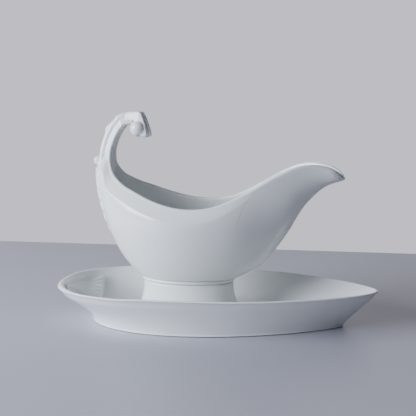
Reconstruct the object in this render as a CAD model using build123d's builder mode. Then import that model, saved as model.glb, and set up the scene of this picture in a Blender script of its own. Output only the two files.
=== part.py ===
from build123d import *
from math import cos, pi, sin
import os

# Gravy boat with a swan-neck handle, loose on its own boat-shaped stand. Millimetres.
# The origin is the middle of the stand, on the table. +X runs out along the spout, +Y to the
# far side and +Z up.

# ---- Driving sizes -------------------------------------------------------------------------

# Stand
stand_length = 240.0
stand_width = 130.0
stand_height = 27.5          # top of the rim above the table
stand_base_length = 187.8    # footprint of the wall where it meets the foot rim
stand_base_width = 97.4
stand_wall = 3.4
stand_floor = 5.6            # top of the inside floor above the table
stand_foot_rim_height = 1.2  # unglazed rim that the stand rests on
stand_foot_rim_width = 4.5
stand_underside_recess = 2.2
rim_round = 1.2              # half-round on the stand's lip

# Shell in the handle end of the stand
shell_reach = 27.0           # from the tip of the stand to the edge of the shell
shell_thickness = 2.4
shell_scallops = 15
shell_scallop_radius = 2.7
shell_scallop_pitch = 5.076    # under two radii, so that neighbours merge
shell_edge_bow = 4.5         # how far the ends of the edge curve back towards the tip
shell_bedding = 0.3          # how far it is pressed into the stand's wall

# Well that locates the boat on the stand
well_depth = 0.8
foot_clearance = 0.7

# Boat
boat_length = 183.0          # back of the bowl to the tip of the spout
boat_width = 86.0
bowl_height = 86.0           # bowl seat to the top of the spout
bowl_wall = 3.3
foot_x = -21.0               # middle of the boat's foot, behind the middle of the stand

# Boat's foot and collar
foot_length = 86.0
foot_width = 62.0
foot_waist_length = 67.0
foot_waist_width = 45.0
foot_wall = 4.0
foot_height = 25.4           # bottom of the foot to the underside of the collar
boat_foot_rim_height = 1.0
collar_length = 71.0
collar_width = 49.0
collar_height = 2.8
collar_round = 1.1

# Handle
handle_root_along = -0.358   # root on the bowl's back, as shares of its length and height
handle_root_up = 0.744
handle_rise = 54.3           # root on the bowl's back to the centre of the curl's crown
handle_reach = 24.5          # root to the end of the curl, along X
handle_width = 18.0          # across the boat, at the rim
handle_depth = 13.0          # through the handle, at the rim
handle_end_depth = 8.2
lower_bud_radius = 2.9
upper_bud_radius = 2.32
boss_radius = 5.0
boss_width = 16.0
boss_bedding = 1.0           # how far the boss is pressed into the underside of the curl
boss_edge_round = 2.0

# Leaf that caps the curl, seen from the side: reaches measured from the curl's end along X
tip_leaf_width = 17.0
tip_leaf_lap = 2.0           # back over the curl
tip_leaf_shoulder = 5.0      # forward along its top
tip_leaf_throat = 3.0        # forward under the curl
tip_leaf_heel = 7.0          # forward to the back of its foot
tip_leaf_toe = 12.0          # forward to the front of its foot
tip_leaf_hang = 1.0          # how far it hangs below the boss's rim
tip_leaf_round = 1.0

# Leaf relief down the back of the bowl
leaf_thickness = 1.9
leaf_width = 27.0
leaf_length = 56.0
leaf_top_up = 0.90           # top of the leaf, as a share of the bowl's height
leaf_bedding = 0.3

# ---- Places worked out from the sizes -------------------------------------------------------

seat_z = stand_floor - well_depth                 # the boat's foot rests here
foot_z = seat_z + boat_foot_rim_height
collar_z = foot_z + foot_height
bowl_z = collar_z + collar_height                 # bowl seat, on top of the collar
outline_points = 28


def boat_outline(back, nose, half_width, back_power, nose_power):
    """Points round a pointed oval. A power of 0.5 rounds an end, a higher one sharpens it."""
    middle = (back + nose) / 2
    half_length = (nose - back) / 2
    widest = (back_power - nose_power) / (back_power + nose_power)
    crest = (1 + widest) ** back_power * (1 - widest) ** nose_power
    points = []
    for index in range(outline_points):
        turn = 2 * pi * index / outline_points
        along = cos(turn)
        breadth = max(1 + along, 0) ** back_power * max(1 - along, 0) ** nose_power / crest
        side = half_width * breadth if turn <= pi else -half_width * breadth
        points.append((middle + half_length * along, side))
    return points


def oval_face(level, outline):
    """Horizontal face inside a closed smooth outline."""
    with BuildSketch(Plane.XY.offset(level)) as face:
        with BuildLine():
            Spline(*outline, periodic=True)
        make_face()
    return face.sketch


def ellipse_face(level, length, width):
    """Horizontal oval about the middle of the boat's foot."""
    with BuildSketch(Plane.XY.offset(level)) as face:
        with Locations((foot_x, 0)):
            Ellipse(length / 2, width / 2)
    return face.sketch


# ---- Lines of the stand ---------------------------------------------------------------------

# Each row: height, share of the flare at the shell end, at the spout end and at the sides,
# then the powers that shape the two ends.
stand_lines = (
    (0.00, 0.00, 0.00, 0.00, 0.52, 0.86),
    (0.24, 0.14, 0.22, 0.16, 0.51, 0.84),
    (0.48, 0.44, 0.47, 0.38, 0.48, 0.79),
    (0.74, 0.82, 0.75, 0.68, 0.44, 0.73),
    (1.00, 1.00, 1.00, 1.00, 0.40, 0.68),
)


def stand_outline(row, inset):
    """Plan of the stand at one row of its lines, moved inwards all round by the inset."""
    height, shell_end, spout_end, sides, back_power, nose_power = row
    base_half_length = stand_base_length / 2
    flare_length = (stand_length - stand_base_length) / 2
    flare_width = (stand_width - stand_base_width) / 2
    back = -base_half_length - flare_length * shell_end + inset
    nose = base_half_length + flare_length * spout_end - inset
    half_width = stand_base_width / 2 + flare_width * sides - inset
    return boat_outline(back, nose, half_width, back_power, nose_power)


def stand_body(bottom, inset):
    """Solid stand from its bottom up to the rim, drawn in by the inset."""
    with BuildPart() as body:
        for row in stand_lines:
            add(oval_face(bottom + (stand_height - bottom) * row[0], stand_outline(row, inset)))
        loft()
    return body.part


# Dish of the stand: wall, floor and the shallow recess under the floor
dish_hollow = stand_body(stand_floor, stand_wall)
with BuildPart() as dish:
    add(stand_body(stand_foot_rim_height, 0))
    add(dish_hollow, mode=Mode.SUBTRACT)
    with BuildSketch(Plane.XY.offset(stand_foot_rim_height)):
        add(oval_face(0, stand_outline(stand_lines[0], stand_foot_rim_width)))
    extrude(amount=stand_underside_recess - stand_foot_rim_height, mode=Mode.SUBTRACT)
    with BuildSketch(Plane.XY.offset(seat_z)):
        with Locations((foot_x, 0)):
            Ellipse(foot_length / 2 + foot_clearance, foot_width / 2 + foot_clearance)
    extrude(amount=well_depth, mode=Mode.SUBTRACT)
dish.part.label = "dish"

# Unglazed rim under the wall
with BuildPart() as stand_foot_rim:
    with BuildSketch():
        add(oval_face(0, stand_outline(stand_lines[0], 0)))
        add(oval_face(0, stand_outline(stand_lines[0], stand_foot_rim_width)), mode=Mode.SUBTRACT)
    extrude(amount=stand_foot_rim_height)
stand_foot_rim.part.label = "stand_foot_rim"

# Scallop shell: a skin on the inside of the wall, cut to a fan with a scalloped edge
shell_half_width = shell_scallop_pitch * (shell_scallops - 1) / 2
scallop_centres = []
for index in range(shell_scallops):
    across = index * shell_scallop_pitch - shell_half_width
    bow = shell_edge_bow * (across / shell_half_width) ** 2
    scallop_centres.append((-stand_length / 2 + shell_reach - shell_scallop_radius - bow, across))

with BuildPart() as shell:
    with BuildSketch(Plane.XY):
        with BuildLine():
            Polyline(
                *scallop_centres,
                (-stand_length / 2, shell_half_width),
                (-stand_length / 2, -shell_half_width),
                close=True,
            )
        make_face()
        with Locations(*scallop_centres):
            Circle(shell_scallop_radius)
    extrude(amount=stand_height - rim_round)
    add(stand_body(stand_floor - shell_bedding, stand_wall - shell_bedding), mode=Mode.INTERSECT)
    add(stand_body(stand_floor + shell_thickness, stand_wall + shell_thickness), mode=Mode.SUBTRACT)
shell.part.label = "shell"

# ---- Lines of the bowl ----------------------------------------------------------------------

# Each row: height above the bowl seat, back and nose along the length from the middle of the
# foot, half width, then the powers that shape the back and the nose.
bowl_lines = (
    (0.000, -0.198, 0.205, 0.57, 0.50, 0.50),
    (0.047, -0.219, 0.249, 0.66, 0.50, 0.51),
    (0.116, -0.249, 0.301, 0.76, 0.50, 0.52),
    (0.233, -0.287, 0.350, 0.88, 0.50, 0.53),
    (0.372, -0.317, 0.397, 0.97, 0.50, 0.55),
    (0.512, -0.340, 0.437, 1.00, 0.50, 0.57),
    (0.651, -0.357, 0.479, 0.92, 0.52, 0.59),
    (0.744, -0.367, 0.521, 0.85, 0.54, 0.60),
    (0.802, -0.371, 0.556, 0.80, 0.56, 0.60),
    (0.837, -0.372, 0.590, 0.76, 0.57, 0.60),
    (0.866, -0.373, 0.619, 0.72, 0.58, 0.60),
    (0.930, -0.374, 0.625, 0.62, 0.58, 0.60),
    (1.020, -0.375, 0.626, 0.50, 0.58, 0.60),
)


def bowl_body(inset):
    """Solid bowl drawn in by the inset, and up by as much, to above the top of the spout."""
    with BuildPart() as body:
        for height, back, nose, half_width, back_power, nose_power in bowl_lines:
            outline = boat_outline(
                foot_x + boat_length * back + inset,
                foot_x + boat_length * nose - inset,
                boat_width / 2 * half_width - inset,
                back_power,
                nose_power,
            )
            add(oval_face(bowl_z + bowl_height * height + inset, outline))
        loft()
    return body.part


# Sheer of the rim, seen from the side: along the length from the foot, height above the seat
rim_sheer = (
    (-0.450, 1.000),
    (-0.330, 0.930),
    (-0.260, 0.852),
    (-0.160, 0.750),
    (-0.040, 0.652),
    (0.060, 0.640),
    (0.170, 0.692),
    (0.280, 0.812),
    (0.380, 0.926),
    (0.440, 0.975),
    (0.500, 0.995),
    (0.565, 0.955),
    (0.623, 0.862),
    (0.660, 0.790),
)
rim_points = [(foot_x + boat_length * along, bowl_z + bowl_height * up) for along, up in rim_sheer]
above_bowl = bowl_z + 2 * bowl_height

# Bowl, open at the top and cut to the sheer
with BuildPart() as bowl:
    add(bowl_body(0))
    add(bowl_body(bowl_wall), mode=Mode.SUBTRACT)
    with BuildSketch(Plane.XZ):
        with BuildLine():
            sheer = Spline(*rim_points)
            Polyline(
                sheer @ 1,
                (rim_points[-1][0], above_bowl),
                (rim_points[0][0], above_bowl),
                sheer @ 0,
            )
        make_face()
    extrude(amount=boat_width, both=True, mode=Mode.SUBTRACT)
bowl.part.label = "bowl"

# Foot: a hollow oval pedestal with a concave flare
foot_flare = ((0.0, 1.00), (0.10, 0.72), (0.35, 0.36), (0.70, 0.10), (1.0, 0.0))


def foot_body(inset):
    """Solid pedestal, drawn in by the inset."""
    with BuildPart() as body:
        for height, flare in foot_flare:
            length = foot_waist_length + (foot_length - foot_waist_length) * flare
            width = foot_waist_width + (foot_width - foot_waist_width) * flare
            add(ellipse_face(foot_z + foot_height * height, length - 2 * inset, width - 2 * inset))
        loft()
    return body.part


with BuildPart() as pedestal_foot:
    add(foot_body(0))
    add(foot_body(foot_wall), mode=Mode.SUBTRACT)
pedestal_foot.part.label = "pedestal_foot"

# Unglazed rim under the boat's foot
with BuildPart() as boat_foot_rim:
    with BuildSketch(Plane.XY.offset(seat_z)):
        with Locations((foot_x, 0)):
            Ellipse(foot_length / 2, foot_width / 2)
            Ellipse(foot_length / 2 - foot_wall, foot_width / 2 - foot_wall, mode=Mode.SUBTRACT)
    extrude(amount=boat_foot_rim_height)
boat_foot_rim.part.label = "boat_foot_rim"

# Collar between the foot and the bowl, with a rounded edge
with BuildPart() as foot_collar:
    with BuildSketch(Plane.XY.offset(collar_z)):
        with Locations((foot_x, 0)):
            Ellipse(collar_length / 2, collar_width / 2)
    extrude(amount=collar_height)
    fillet(foot_collar.edges(), collar_round)
foot_collar.part.label = "foot_collar"

# ---- Handle ----------------------------------------------------------------------------------

handle_root_x = foot_x + boat_length * handle_root_along
handle_root_z = bowl_z + bowl_height * handle_root_up

# Each row: place along the curl from the root, along X and up, then the shares of the depth
# and of the width at the rim.
handle_lines = (
    (0.03, -0.06, 0.30, 0.70),
    (0.05, 0.10, 0.62, 0.92),
    (0.07, 0.27, 1.00, 1.00),
    (0.10, 0.40, 0.84, 0.95),
    (0.12, 0.54, 0.72, 0.87),
    (0.19, 0.67, 0.68, 0.80),
    (0.31, 0.80, 0.67, 0.75),
    (0.50, 0.91, 0.66, 0.72),
    (0.75, 0.98, 0.65, 0.72),
    (1.00, 1.00, handle_end_depth / handle_depth, 0.72),
)


def handle_point(row):
    """Centre of the handle at one row of its lines."""
    return Vector(handle_root_x + handle_reach * row[0], 0, handle_root_z + handle_rise * row[1])


with BuildPart() as handle:
    centres = [handle_point(row) for row in handle_lines]
    for index, row in enumerate(handle_lines):
        before = centres[max(index - 1, 0)]
        after = centres[min(index + 1, len(centres) - 1)]
        depth = handle_depth * row[2]
        width = handle_width * row[3]
        with BuildSketch(Plane(centres[index], x_dir=(0, 1, 0), z_dir=after - before)):
            Ellipse(width / 2, depth / 2)
    loft()
handle.part.label = "handle"

crown_x = handle_root_x + handle_reach
crown_z = handle_root_z + handle_rise
handle_top = crown_z + handle_end_depth / 2

# Two buds on the back of the handle
with BuildPart() as handle_buds:
    for row, radius in ((handle_lines[3], lower_bud_radius), (handle_lines[6], upper_bud_radius)):
        centre = handle_point(row)
        with Locations((centre.X - handle_depth * row[2] / 2, 0, centre.Z)):
            Sphere(radius)
handle_buds.part.label = "handle_buds"

# Round boss under the end of the curl, with domed ends
boss_z = crown_z - handle_end_depth / 2 - boss_radius + boss_bedding
with BuildPart() as scroll_boss:
    with BuildSketch(Plane.XZ):
        with Locations((crown_x, boss_z)):
            Circle(boss_radius)
    extrude(amount=boss_width / 2, both=True)
    fillet(scroll_boss.edges().filter_by(GeomType.CIRCLE), boss_edge_round)
scroll_boss.part.label = "scroll_boss"

# Leaf that caps the end of the curl and hangs in front of the boss
handle_underside = handle_top - handle_end_depth
tip_leaf_foot_z = handle_underside - 2 * boss_radius - tip_leaf_hang
with BuildPart() as tip_leaf:
    with BuildSketch(Plane.XZ):
        with BuildLine():
            Polyline(
                (crown_x - tip_leaf_lap, handle_top),
                (crown_x + tip_leaf_shoulder, handle_top),
                (crown_x + tip_leaf_toe, tip_leaf_foot_z),
                (crown_x + tip_leaf_heel, tip_leaf_foot_z),
                (crown_x + tip_leaf_throat, handle_underside),
                (crown_x - tip_leaf_lap, handle_underside),
                close=True,
            )
        make_face()
    extrude(amount=tip_leaf_width / 2, both=True)
    fillet(tip_leaf.edges().filter_by(Axis.Y), tip_leaf_round)
tip_leaf.part.label = "tip_leaf"

# Leaf relief down the back of the bowl: a skin cut to a leaf that narrows to a point
leaf_top_z = bowl_z + bowl_height * leaf_top_up

# From the leaf's point up: half width as a share of its width, drop as a share of its length
leaf_lines = ((0.00, 1.00), (0.30, 0.72), (0.46, 0.32), (0.36, 0.00))
leaf_side = [(leaf_width * across, leaf_top_z - leaf_length * down) for across, down in leaf_lines]
leaf_other_side = [(-across, up) for across, up in leaf_side]

with BuildPart() as rear_leaf:
    with BuildSketch(Plane.YZ.offset(foot_x - boat_length)):
        with BuildLine():
            Spline(*leaf_side)
            Line(leaf_side[-1], leaf_other_side[-1])
            Spline(*leaf_other_side)
        make_face()
    extrude(amount=boat_length)
    add(bowl_body(-leaf_thickness), mode=Mode.INTERSECT)
    add(bowl_body(leaf_bedding), mode=Mode.SUBTRACT)
rear_leaf.part.label = "rear_leaf"

# ---- Write the pieces ------------------------------------------------------------------------

os.makedirs("parts", exist_ok=True)
export_step(dish.part, "parts/dish.step")
export_step(stand_foot_rim.part, "parts/stand_foot_rim.step")
export_step(shell.part, "parts/shell.step")
export_step(bowl.part, "parts/bowl.step")
export_step(pedestal_foot.part, "parts/pedestal_foot.step")
export_step(boat_foot_rim.part, "parts/boat_foot_rim.step")
export_step(foot_collar.part, "parts/foot_collar.step")
export_step(handle.part, "parts/handle.step")
export_step(handle_buds.part, "parts/handle_buds.step")
export_step(scroll_boss.part, "parts/scroll_boss.step")
export_step(tip_leaf.part, "parts/tip_leaf.step")
export_step(rear_leaf.part, "parts/rear_leaf.step")
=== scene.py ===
"""Gravy boat of glazed porcelain on its loose stand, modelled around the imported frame."""

from math import cos, pi, radians, sin

import bmesh
import bpy
import numpy as np
from mathutils import Euler, Matrix, Vector


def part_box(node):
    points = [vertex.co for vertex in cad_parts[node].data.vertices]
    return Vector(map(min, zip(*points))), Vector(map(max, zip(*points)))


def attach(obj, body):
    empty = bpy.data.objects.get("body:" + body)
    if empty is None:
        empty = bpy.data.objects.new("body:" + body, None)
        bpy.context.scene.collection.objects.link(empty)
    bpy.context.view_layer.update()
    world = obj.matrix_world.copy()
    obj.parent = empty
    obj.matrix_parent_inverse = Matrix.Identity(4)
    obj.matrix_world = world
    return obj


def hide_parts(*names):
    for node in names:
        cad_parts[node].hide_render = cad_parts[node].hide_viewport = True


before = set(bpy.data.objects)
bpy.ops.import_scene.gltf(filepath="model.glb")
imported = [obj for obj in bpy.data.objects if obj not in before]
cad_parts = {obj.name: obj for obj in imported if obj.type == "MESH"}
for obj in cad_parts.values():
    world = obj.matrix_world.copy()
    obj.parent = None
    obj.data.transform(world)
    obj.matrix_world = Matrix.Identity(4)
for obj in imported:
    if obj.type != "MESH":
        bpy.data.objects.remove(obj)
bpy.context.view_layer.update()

bl_info = {
    "name": "Gravy Boat and Stand",
    "version": (1, 0, 0),
    "blender": (4, 5, 0),
    "location": "3D View > Sidebar > Gravy Boat",
    "description": "Models a glazed porcelain gravy boat and its stand around their packed frame",
    "category": "Object",
}

MM = 0.001
TINY = 1e-12
STEP = 0.004              # small change of a turn or a share, to find a direction
FINE = 240                # points of the fine lines that loops are spread along

# ---- Places read from the frame ----------------------------------------------

BOWL_LOW, BOWL_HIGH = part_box("bowl")
COLLAR_LOW, COLLAR_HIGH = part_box("foot_collar")
FOOT_LOW, FOOT_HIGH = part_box("pedestal_foot")
DISH_LOW, DISH_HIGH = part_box("dish")
HANDLE_LOW, HANDLE_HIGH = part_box("handle")
BOSS_LOW, BOSS_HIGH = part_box("scroll_boss")
LEAF_LOW, LEAF_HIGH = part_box("rear_leaf")
TIP_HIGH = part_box("tip_leaf")[1]
RIM_LOW, RIM_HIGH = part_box("stand_foot_rim")

FOOT_X = (COLLAR_LOW.x + COLLAR_HIGH.x) / 2
SEAT_Z = COLLAR_HIGH.z    # the bowl sits on its collar here
SPOUT_SPARE = 1.0056      # the sheer cuts the spout a little short
CREST_SPARE = 1.0238      # and its crest a little low
BOWL_LENGTH = (BOWL_HIGH.x - BOWL_LOW.x) * SPOUT_SPARE
BOWL_HEIGHT = (BOWL_HIGH.z - SEAT_Z) * CREST_SPARE
BOWL_HALF_WIDTH = (BOWL_HIGH.y - BOWL_LOW.y) / 2

BASE_HALF_LENGTH = (RIM_HIGH.x - RIM_LOW.x) / 2
BASE_HALF_WIDTH = (RIM_HIGH.y - RIM_LOW.y) / 2
DISH_HALF_LENGTH = (DISH_HIGH.x - DISH_LOW.x) / 2
DISH_HALF_WIDTH = (DISH_HIGH.y - DISH_LOW.y) / 2
STAND_FLOOR = 5.6 * MM
BOAT_FOOT_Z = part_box("boat_foot_rim")[0].z

# ---- Lines of the bowl, in shares of its length, height and half width -------

# Share of the half length over which the pointed nose is rounded off.
BOWL_BLUNTING = 0.03

# Height above the seat; back, nose, half width; powers that shape the back and the nose.
BOWL_LINES = (
    (0.000, -0.198, 0.205, 0.57, 0.50, 0.50),
    (0.047, -0.219, 0.249, 0.66, 0.50, 0.51),
    (0.116, -0.249, 0.301, 0.76, 0.50, 0.52),
    (0.233, -0.287, 0.350, 0.88, 0.50, 0.53),
    (0.372, -0.317, 0.397, 0.97, 0.50, 0.55),
    (0.512, -0.340, 0.437, 1.00, 0.50, 0.57),
    (0.651, -0.357, 0.479, 0.92, 0.52, 0.59),
    (0.744, -0.367, 0.521, 0.85, 0.54, 0.60),
    (0.802, -0.371, 0.556, 0.80, 0.56, 0.60),
    (0.837, -0.372, 0.597, 0.765, 0.57, 0.60),
    (0.855, -0.373, 0.624, 0.74, 0.58, 0.60),
    (0.880, -0.373, 0.638, 0.70, 0.58, 0.60),
    (0.930, -0.374, 0.641, 0.62, 0.58, 0.60),
    (1.020, -0.368, 0.642, 0.49, 0.58, 0.60),
    (1.130, -0.352, 0.642, 0.40, 0.58, 0.60),
)

# Places along between which the plan lines give way to the spout's own sections, the length
# of the tip's rounding, and the power of each section, where 2 would make an ellipse.
SPOUT_FROM, SPOUT_TO = 0.16, 0.44
TIP_ROUNDING = 0.055
SPOUT_ROUNDNESS = 2.4

# Spout: place along the length from the foot, and half width of its rim there.
SPOUT_LINES = (
    (0.100, 0.925), (0.200, 0.826), (0.300, 0.690), (0.400, 0.545),
    (0.500, 0.395), (0.570, 0.310), (0.640, 0.250),
)

# Sheer of the rim: place along the length from the foot, height above the seat. It climbs
# steeply at the back, where each side of the rim runs up into the handle.
RIM_SHEER = (
    (-0.331, 1.030), (-0.325, 0.990), (-0.318, 0.940), (-0.306, 0.890),
    (-0.268, 0.820), (-0.186, 0.738), (-0.104, 0.672), (-0.022, 0.629),
    (0.060, 0.618), (0.142, 0.642), (0.224, 0.712), (0.306, 0.810),
    (0.388, 0.907), (0.450, 0.962), (0.500, 0.977), (0.548, 0.966),
    (0.590, 0.934), (0.622, 0.884), (0.642, 0.830),
)

# Where the shoulder is at its fullest and where it has died out, along the frame's X axis.
SHOULDER_FULL, SHOULDER_GONE = -52 * MM, 38 * MM

# ---- Lines of the handle -----------------------------------------------------

# Root of the handle: place along the bowl from its foot, and height above the seat.
HANDLE_ROOT = (-0.358, 0.744)
SPINE_ABOVE = 4.1 * MM    # top of the curl's spine, over the line that its sections follow

# Curl: share of the rise; shares there of the reach forward, the depth and the width.
HANDLE_LINES = (
    (-0.060, 0.03, 0.30, 0.70),
    (0.100, 0.05, 0.62, 0.92),
    (0.270, 0.07, 1.00, 1.00),
    (0.400, 0.12, 0.93, 0.95),
    (0.540, 0.15, 0.85, 0.87),
    (0.670, 0.23, 0.83, 0.80),
    (0.800, 0.36, 0.83, 0.76),
    (0.910, 0.54, 0.80, 0.74),
    (0.975, 0.77, 0.74, 0.74),
    (0.990, 1.00, 0.70, 0.74),
)

# One side of the handle's section, from the spine on its back round a flute and a rib to the
# low rib in the middle of its inner face: across, and out towards the back.
HANDLE_SECTION = (
    (0.00, 1.00), (0.26, 0.97), (0.48, 0.84), (0.60, 0.62),
    (0.60, 0.36), (0.55, 0.08), (0.64, -0.16), (0.86, -0.34),
    (1.00, -0.56), (0.98, -0.80), (0.80, -0.96), (0.62, -0.88),
    (0.50, -0.62), (0.34, -0.56), (0.22, -0.80), (0.10, -0.96),
    (0.00, -0.98),
)

# Buds: share of the rise; half sizes across, along and out, and how far out of the spine, in mm.
BUDS = (
    (0.375, 3.3, 3.6, 3.4, 0.6),
    (0.800, 2.4, 4.6, 2.0, -0.6),
)

# Side view of the hood, in mm forward and up from the front corner of its top.
HOOD_PROFILE = (
    (-13.0, -0.8), (-7.5, 0.0), (-1.5, 0.0), (0.0, -0.3), (1.2, -2.4), (2.8, -6.2),
    (4.2, -10.2), (5.2, -14.4), (5.9, -17.4), (5.2, -19.0), (2.8, -19.3),
    (-0.8, -18.2), (-2.6, -14.6), (-4.4, -10.8), (-8.0, -8.4), (-13.0, -8.0),
)
HOOD_FRONT = slice(3, 9)  # its points down the front face

# ---- Lines of the stand and the foot -----------------------------------------

# Share of the half length over which the pointed nose is rounded off.
STAND_BLUNTING = 0.07

# Height of the stand's wall; flare at the shell end, at the spout end and at the sides; powers.
STAND_LINES = (
    (0.00, 0.00, 0.00, 0.00, 0.52, 0.86),
    (0.24, 0.14, 0.22, 0.16, 0.51, 0.84),
    (0.48, 0.44, 0.47, 0.38, 0.48, 0.79),
    (0.74, 0.82, 0.75, 0.68, 0.44, 0.73),
    (1.00, 1.00, 1.00, 1.00, 0.40, 0.68),
)

# Pedestal foot: height, and share of the flare from its waist out to its base.
FOOT_FLARE = (
    (0.00, 1.00), (0.05, 0.97), (0.10, 0.78), (0.20, 0.52),
    (0.35, 0.30), (0.55, 0.13), (0.75, 0.04), (1.00, 0.00),
)


# ---- Curves ------------------------------------------------------------------


def curve_through(rows, fair=False):
    """Smooth curve through rows: the first column is the place, the others are the values.

    A fair curve keeps its curvature smooth too, as a hull's lines do, and suits even rows.
    """
    knots = np.array([row[0] for row in rows], float)
    values = np.array([row[1:] for row in rows], float)
    slopes = fair_slopes(knots, values) if fair else np.gradient(values, knots, axis=0)

    def at(place):
        place = np.clip(np.asarray(place, float), knots[0], knots[-1])
        span = np.clip(np.searchsorted(knots, place) - 1, 0, len(knots) - 2)
        width = (knots[span + 1] - knots[span])[..., None]
        t = (place[..., None] - knots[span][..., None]) / width
        near = (1 + 2 * t) * (1 - t) ** 2 * values[span] + t * (1 - t) ** 2 * width * slopes[span]
        far = t * t * (3 - 2 * t) * values[span + 1] - t * t * (1 - t) * width * slopes[span + 1]
        return near + far

    return at


def fair_slopes(knots, values):
    """Slopes at the knots of the natural cubic spline."""
    gaps = np.diff(knots)
    rises = np.diff(values, axis=0) / gaps[:, None]
    balance = np.diag(2 * (np.append(1 / gaps, 0) + np.append(0, 1 / gaps)))
    balance += np.diag(1 / gaps, 1) + np.diag(1 / gaps, -1)
    pull = rises / gaps[:, None]
    nothing = np.zeros((1, values.shape[1]))
    return np.linalg.solve(balance, 3 * (np.vstack([pull, nothing]) + np.vstack([nothing, pull])))


def smooth_step(value, low, high):
    """0 below low, 1 above high and a smooth change between."""
    t = np.clip((np.asarray(value, float) - low) / (high - low), 0, 1)
    return t * t * (3 - 2 * t)


def pointed_oval(turn, back, nose, half_width, back_power, nose_power, blunting):
    """Plan of a boat-shaped outline at a turn round it, starting from its nose."""
    along = np.cos(turn)
    widest = (back_power - nose_power) / (back_power + nose_power)
    crest = (1 + widest) ** back_power * (1 - widest) ** nose_power
    ahead = np.clip(1 - along, 0, 2)
    nose_shape = ahead ** 0.5 * (ahead + blunting) ** (nose_power - 0.5)
    breadth = np.clip(1 + along, 0, 2) ** back_power * nose_shape
    x = (back + nose) / 2 + (nose - back) / 2 * along
    return x, half_width * breadth / crest * np.sign(np.sin(turn) + TINY)


bowl_lines = curve_through(BOWL_LINES, fair=True)
spout_lines = curve_through(SPOUT_LINES, fair=True)
rim_sheer = curve_through(RIM_SHEER)
handle_lines = curve_through(HANDLE_LINES)
stand_lines = curve_through(STAND_LINES, fair=True)
foot_flare = curve_through(FOOT_FLARE)

# Keel, the lowest line of the bowl's nose and spout: its heights and its places along
KEEL_UP = np.linspace(0, BOWL_LINES[-1][0], 6000)
KEEL_ALONG = np.maximum.accumulate(bowl_lines(KEEL_UP)[..., 1])
SPOUT_TIP = float(KEEL_ALONG[np.argmax(rim_sheer(KEEL_ALONG)[..., 0] < KEEL_UP)])


def spout_half_width(along, up, inset):
    """Half width of the spout's rounded section at a place along the bowl and a height."""
    keel = np.interp(along, KEEL_ALONG, KEEL_UP)
    shallowest = 0.01
    depth = np.maximum(rim_sheer(along)[..., 0] - keel, shallowest)
    from_rim = 1 - np.clip((up - keel) / depth, 0, 1)
    from_tip = 1 - np.clip((SPOUT_TIP - along) / TIP_ROUNDING, 0, 1)
    rim = BOWL_HALF_WIDTH * spout_lines(along)[..., 0] * np.sqrt(1 - from_tip ** 2)
    return np.maximum(rim - inset, rim / 4) * np.sqrt(1 - from_rim ** SPOUT_ROUNDNESS)


def bowl_plan(turn, height, inset=0.0):
    """Plan position on the bowl's wall at a height above the seat, drawn in by an inset."""
    turn, height = np.broadcast_arrays(turn, height)
    up = (height - inset) / BOWL_HEIGHT
    line = bowl_lines(up)
    x, y = pointed_oval(
        turn,
        FOOT_X + BOWL_LENGTH * line[..., 0] + inset,
        FOOT_X + BOWL_LENGTH * line[..., 1] - inset,
        BOWL_HALF_WIDTH * line[..., 2] - inset,
        line[..., 3],
        line[..., 4],
        BOWL_BLUNTING,
    )
    back, nose, cosine = line[..., 0], line[..., 1], np.cos(turn)
    along = (nose + back + (nose - back) * cosine) / 2
    share = np.clip((along - SPOUT_FROM) / (SPOUT_TO - SPOUT_FROM), 0, 1)
    share = share ** 3 * (10 - 15 * share + 6 * share * share)
    side = np.where(1 - cosine > TINY, np.sign(np.sin(turn) + TINY), 0)
    return x, y + (spout_half_width(along, up, inset) * side - y) * share


def bowl_normal(turn, height):
    """Outward direction of the bowl in plan, from two points a little to each side."""
    x0, y0 = bowl_plan(turn - STEP, height)
    x1, y1 = bowl_plan(turn + STEP, height)
    normal = np.stack([y1 - y0, x0 - x1, np.zeros_like(x0)], -1)
    return normal / np.maximum(np.linalg.norm(normal, axis=-1, keepdims=True), TINY)


def rim_curve():
    """Rim of one half from nose to back: turns and heights where the wall meets the sheer."""
    past_nose, past_back = 0.66, -0.36
    along = np.linspace(past_nose, past_back, 6000)
    height = BOWL_HEIGHT * rim_sheer(along)[..., 0]
    line = bowl_lines(height / BOWL_HEIGHT)
    middle, half = (line[..., 0] + line[..., 1]) / 2, (line[..., 1] - line[..., 0]) / 2
    cosine = (along - middle) / half
    on_wall = abs(cosine) <= 1
    return np.arccos(cosine[on_wall]), height[on_wall]


def distance_along(points):
    """Distance of each point of a polyline from its start."""
    steps = np.linalg.norm(np.diff(points, axis=0), axis=1)
    return np.concatenate([[0], np.cumsum(steps)])


def spread(points, places):
    """Points at the given distances along a polyline."""
    length = distance_along(points)
    return np.stack([np.interp(places, length, points[:, axis]) for axis in range(3)], -1)


def run_length(points):
    """Length of a polyline."""
    return float(np.linalg.norm(np.diff(points, axis=0), axis=1).sum())


# ---- Mesh helpers ------------------------------------------------------------


def next_loop(bm, loop):
    """Extrudes a closed loop of verts once and returns the new loop in the same order."""
    edges = [bm.edges.get((vert, loop[index - 1])) for index, vert in enumerate(loop)]
    grown = bmesh.ops.extrude_edge_only(bm, edges=edges)["geom"]
    fresh = {part for part in grown if isinstance(part, bmesh.types.BMVert)}
    return [next(e.other_vert(v) for e in v.link_edges if e.other_vert(v) in fresh) for v in loop]


def loft(rings, start=None, end=None):
    """Closed skin through rings of points, drawn to a point at each end that is given."""
    bm = bmesh.new()
    first = bmesh.ops.create_circle(bm, cap_ends=False, radius=1.0, segments=len(rings[0]))["verts"]
    loop = first
    for vert, point in zip(loop, rings[0]):
        vert.co = point
    for ring in rings[1:]:
        loop = next_loop(bm, loop)
        for vert, point in zip(loop, ring):
            vert.co = point
    for edge_loop, centre in ((first, start), (loop, end)):
        if centre is not None:
            tip = next_loop(bm, edge_loop)
            bmesh.ops.pointmerge(bm, verts=tip, merge_co=Vector(centre))
    bmesh.ops.recalc_face_normals(bm, faces=bm.faces)
    return bm


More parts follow.
